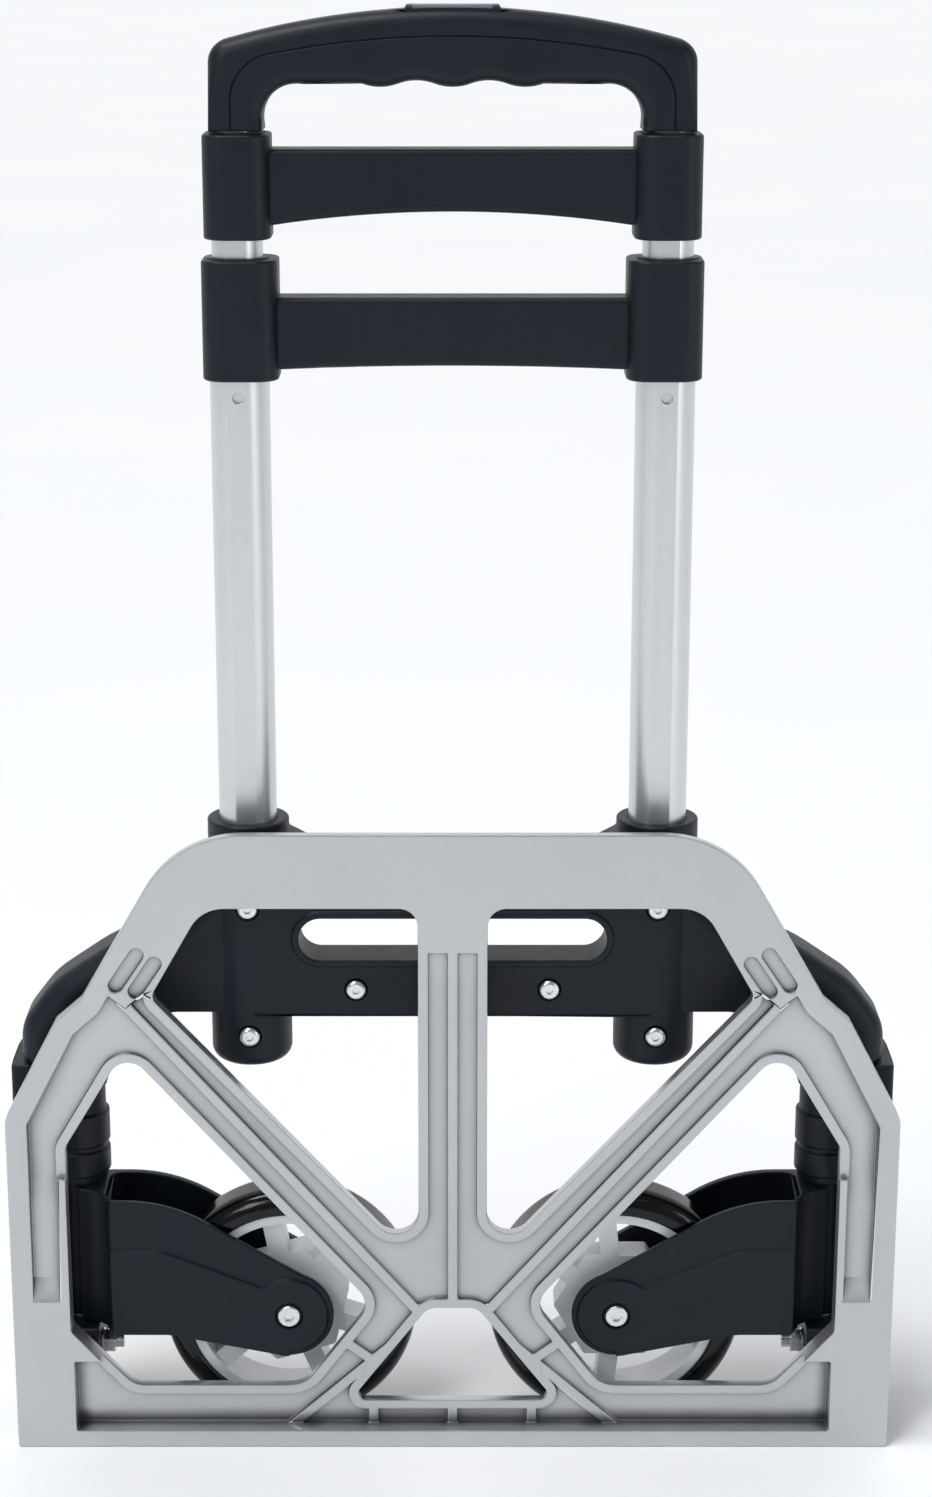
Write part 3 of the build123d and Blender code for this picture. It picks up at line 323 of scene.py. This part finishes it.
def keep_creases(piece, smallest, slightest):
    """Keep the line crisp where two broad flats meet at a slight angle."""
    faces = faces_of_edges(piece)
    for edge in piece.data.edges:
        sides = faces[edge.key]
        if len(sides) == 2 and min(side.area for side in sides) > smallest:
            edge.use_edge_sharp |= sides[0].normal.angle(sides[1].normal) > slightest


toe_plate = eased_copy("toe_plate", PLATE_EDGE)
keep_creases(toe_plate, BROAD_FACE, SLIGHT_ANGLE)
stand_for(toe_plate, "toe_plate", cast_finish())


# ---- black mouldings ----
# Glass-filled nylon, injection moulded with a fine spark texture: the back frame, the legs at
# the plate's sides and the crossbars. Their corners carry the mould's small radii.
MOULD_EDGE = 0.0009


def nylon_finish():
    finish = Finish("black_moulded_nylon", Specular_IOR_Level=0.30)
    cloud = finish.noise(22.0, 4.0)
    spark = finish.noise(2600.0, 2.0)
    flow = finish.noise(120.0, 3.0, (1.0, 1.0, 0.25))
    tone = finish.band(0.6 * cloud + 0.4 * flow, 0.35, 0.65)
    colour = finish.mix(tone, (0.0020, 0.0044, 0.0098, 1.0), (0.0040, 0.0072, 0.0140, 1.0))
    finish.feed("Base Color", colour)
    finish.feed("Roughness", finish.band(0.5 * flow + 0.5 * spark, 0.3, 0.7, 0.40, 0.52))
    finish.grain(spark, 0.00005)
    return finish.material


nylon = nylon_finish()
for name in ("back_frame", "left_side_leg", "right_side_leg"):
    stand_for(eased_copy(name, MOULD_EDGE, 3), name, nylon)
for name in ("lower_crossbar", "upper_crossbar"):
    stand_for(eased_copy(name, 0.0), name, nylon)


# ---- wheel arms ----
# Two black nylon forks, injection moulded as the back frame is. They carry the wheels and fold
# flat behind the toe plate.
ARM_EDGE = 0.0007

for name in ("left_wheel_arm", "right_wheel_arm"):
    stand_for(eased_copy(name, ARM_EDGE, 3), name, nylon)


# ---- tyres and rims ----
# Glossy black polyurethane tyres on white moulded rims with three pairs of spokes.
def tyre_finish():
    finish = Finish("black_polyurethane", Coat_Weight=0.2, Coat_Roughness=0.08, Specular_IOR_Level=0.22)
    film = finish.noise(60.0, 4.0)
    speck = finish.noise(1400.0, 2.0)
    tone = finish.band(film, 0.35, 0.7)
    colour = finish.mix(tone, (0.0010, 0.0013, 0.0020, 1.0), (0.0022, 0.0026, 0.0036, 1.0))
    finish.feed("Base Color", colour)
    finish.feed("Roughness", finish.band(0.7 * film + 0.3 * speck, 0.3, 0.7, 0.14, 0.24))
    finish.grain(film, 0.00005)
    return finish.material


def rim_finish():
    finish = Finish("white_moulded_rim", Specular_IOR_Level=0.45)
    cloud = finish.noise(40.0, 3.0)
    fine = finish.noise(1800.0, 2.0)
    tone = finish.band(cloud, 0.3, 0.7)
    colour = finish.mix(tone, (0.74, 0.755, 0.78, 1.0), (0.82, 0.83, 0.845, 1.0))
    finish.feed("Base Color", colour)
    finish.feed("Roughness", finish.band(fine, 0.3, 0.7, 0.30, 0.42))
    finish.grain(fine, 0.00002)
    return finish.material


TYRE_CORNER = 50.0
RIM_CORNER = 30.0

tyre_rubber = tyre_finish()
rim_plastic = rim_finish()
for side in ("left", "right"):
    stand_for(eased_copy(side + "_tyre", 0.0, sharp=TYRE_CORNER), side + "_tyre", tyre_rubber)
    stand_for(eased_copy(side + "_wheel_rim", 0.0, sharp=RIM_CORNER), side + "_wheel_rim", rim_plastic)


# ---- tubes ----
# Drawn aluminium, round with a flat at the front and the back, clear anodised. The draw marks
# run along each tube.
TUBE_EDGE = 0.00025
FLAT_CORNER = 24.0  # corners sharper than this, in degrees, are the edges of the flats and the ends


def tube_finish():
    finish = Finish("anodised_tube", Metallic=0.85)
    draw = finish.noise(1600.0, 3.0, (1.0, 1.0, 0.012))
    broad = finish.noise(260.0, 2.0, (1.0, 1.0, 0.02))
    cloud = finish.noise(9.0, 3.0)
    tone = finish.band(0.4 * draw + 0.3 * broad + 0.3 * cloud, 0.36, 0.64)
    finish.feed("Base Color", finish.mix(tone, (0.62, 0.63, 0.64, 1.0), (0.68, 0.69, 0.70, 1.0)))
    finish.feed("Roughness", finish.band(0.6 * draw + 0.4 * broad, 0.35, 0.65, 0.27, 0.36))
    finish.grain(draw, 0.00001, 0.6)
    return finish.material


anodised = tube_finish()
for side in ("left", "right"):
    for stage in ("outer", "middle", "inner"):
        name = side + "_" + stage + "_tube"
        stand_for(eased_copy(name, TUBE_EDGE, 2, FLAT_CORNER), name, anodised)


# ---- screws, bolts, pins, nuts and springs ----
# Turned, pressed and wound steel with bright zinc plating. The share of the handle's return
# springs left when the button is pressed is worked out from the button's travel, and the springs
# get a mesh of their own.
ZINC_EDGE = 0.0002
PRESS_MARGIN = 1.02  # the spring shortens by this times the button's travel


def zinc_finish():
    finish = Finish("bright_zinc", Metallic=1.0)
    patch = finish.noise(500.0, 3.0)
    tone = finish.band(patch, 0.35, 0.65)
    finish.feed("Base Color", finish.mix(tone, (0.70, 0.71, 0.73, 1.0), (0.80, 0.80, 0.79, 1.0)))
    finish.feed("Roughness", finish.band(patch, 0.3, 0.7, 0.24, 0.34))
    finish.grain(finish.noise(900.0, 2.0), 0.000003, 0.3)
    return finish.material


zinc = zinc_finish()
inner_zinc = ("middle_lock_pins", "top_lock_pins", "push_rods")
zinc_nodes = [name for name, slot in slot_of_node.items() if slot == "zinc_steel"]
seen_zinc = [name for name in zinc_nodes if name not in inner_zinc]
for name in seen_zinc:
    stand_for(eased_copy(name, ZINC_EDGE), name, zinc)

spring_foot, spring_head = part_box("return_springs")
spring_length = spring_head[2] - spring_foot[2]
press = next(joint for joint in frame["joints"] if joint["name"] == "button_press")
pressed_share = 1.0 - PRESS_MARGIN * press["range_m"][1] / spring_length
springs = bpy.data.objects["return_springs_finished"]
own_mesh(springs)


# ---- handle ----
# Two nylon shells that meet along a seam below the crown and are screwed together from below.
# The crown and the grip are rounded front and back for the palm and the fingers.
CROWN_ROUND = 0.0068
CROWN_SIDE = 0.0955  # the crown's outline is outside this, or above its arch
CROWN_TOP = 0.6235
CROWN_ARCH = 1.42
GRIP_ROUND = 0.0055
GRIP_SIDE = 0.084
GRIP_TOP = 0.602
SEAM_EDGE = 0.0005
SQUARE_CORNER = 60.0  # corners sharper than this, in degrees, are the shell's own


def on_crown(point):
    """True on the outer outline of the top shell."""
    return abs(point.x) > CROWN_SIDE or point.z > CROWN_TOP - CROWN_ARCH * point.x * point.x


def on_grip(point):
    """True on the finger side of the grip shell."""
    return abs(point.x) < GRIP_SIDE and point.z < GRIP_TOP


def round_edges(piece, ends, wanted, width, steps):
    """Round the corners between a shell's front or rear face and its sides, where wanted."""
    bpy.ops.object.mode_set(mode="EDIT")
    bpy.ops.mesh.select_mode(type="EDGE")
    bpy.ops.mesh.select_all(action="DESELECT")
    bpy.ops.object.mode_set(mode="OBJECT")
    faces = faces_of_edges(piece)
    for edge in piece.data.edges:
        points = [piece.data.vertices[i].co for i in edge.vertices]
        sides = faces[edge.key]
        between = sides[0].normal.angle(sides[1].normal) if len(sides) == 2 else 0.0
        corner = between > math.radians(SQUARE_CORNER)
        on_face = all(min(abs(point.y - end) for end in ends) < 1e-5 for point in points)
        edge.select = corner and on_face and wanted(points)
    bpy.ops.object.mode_set(mode="EDIT")
    bpy.ops.mesh.bevel(
        offset=width, segments=steps, affect="EDGES", clamp_overlap=False, loop_slide=False
    )
    bpy.ops.object.mode_set(mode="OBJECT")


def handle_shell(node, on_outline, width):
    """Shell whose outline is rounded front and rear, with a fine groove along its seam."""
    piece = eased_copy(node, 0.0)
    ends = [corner.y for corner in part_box(node)]
    round_edges(piece, ends, lambda points: not all(map(on_outline, points)), SEAM_EDGE, 1)
    round_edges(piece, ends, lambda points: all(map(on_outline, points)), width, 8)
    bpy.ops.object.shade_smooth_by_angle(angle=math.radians(35.0))
    return piece


stand_for(handle_shell("handle_top_shell", on_crown, CROWN_ROUND), "handle_top_shell", nylon)
stand_for(handle_shell("handle_grip_shell", on_grip, GRIP_ROUND), "handle_grip_shell", nylon)


# ---- release button ----
# A grey-blue nylon pad in the crown, with a black end piece moulded on each side.
BUTTON_EDGE = 0.0004
PAD_END = 0.0160  # the grey-blue pad ends and the black piece begins between these two places
BLACK_START = 0.0162


def button_finish():
    finish = Finish("grey_blue_button")
    cloud = finish.noise(120.0, 3.0)
    pad = finish.mix(cloud, (0.075, 0.10, 0.12, 1.0), (0.10, 0.13, 0.15, 1.0))
    across = finish.node("ShaderNodeSeparateXYZ", {}, {0: finish.place}, "X")
    out = finish.node("ShaderNodeMath", {"operation": "ABSOLUTE"}, {0: across})
    ends = finish.band(out, PAD_END, BLACK_START)
    finish.feed("Base Color", finish.mix(ends, pad, (0.004, 0.006, 0.01, 1.0)))
    finish.feed("Roughness", finish.band(cloud, 0.3, 0.7, 0.42, 0.55))
    finish.grain(finish.noise(2600.0, 2.0), 0.00004)
    return finish.material


stand_for(eased_copy("release_button", BUTTON_EDGE), "release_button", button_finish())


# ---- guides, plugs and bushes ----
# Plain nylon pieces inside the tubes, the handle and the hubs. Only the bushes' rims show.
def guide_finish():
    finish = Finish("plain_nylon")
    cloud = finish.noise(90.0, 3.0)
    finish.feed("Base Color", finish.mix(cloud, (0.03, 0.033, 0.038, 1.0), (0.045, 0.048, 0.053, 1.0)))
    finish.feed("Roughness", finish.band(cloud, 0.3, 0.7, 0.38, 0.5))
    return finish.material


def paint_node(name, material):
    """Give a CAD node that keeps its own mesh a finish."""
    nodes[name].data.materials.clear()
    nodes[name].data.materials.append(material)


guide = guide_finish()
for name, slot in slot_of_node.items():
    if slot == "guide_plastic":
        paint_node(name, guide)
for name in inner_zinc:
    paint_node(name, zinc)
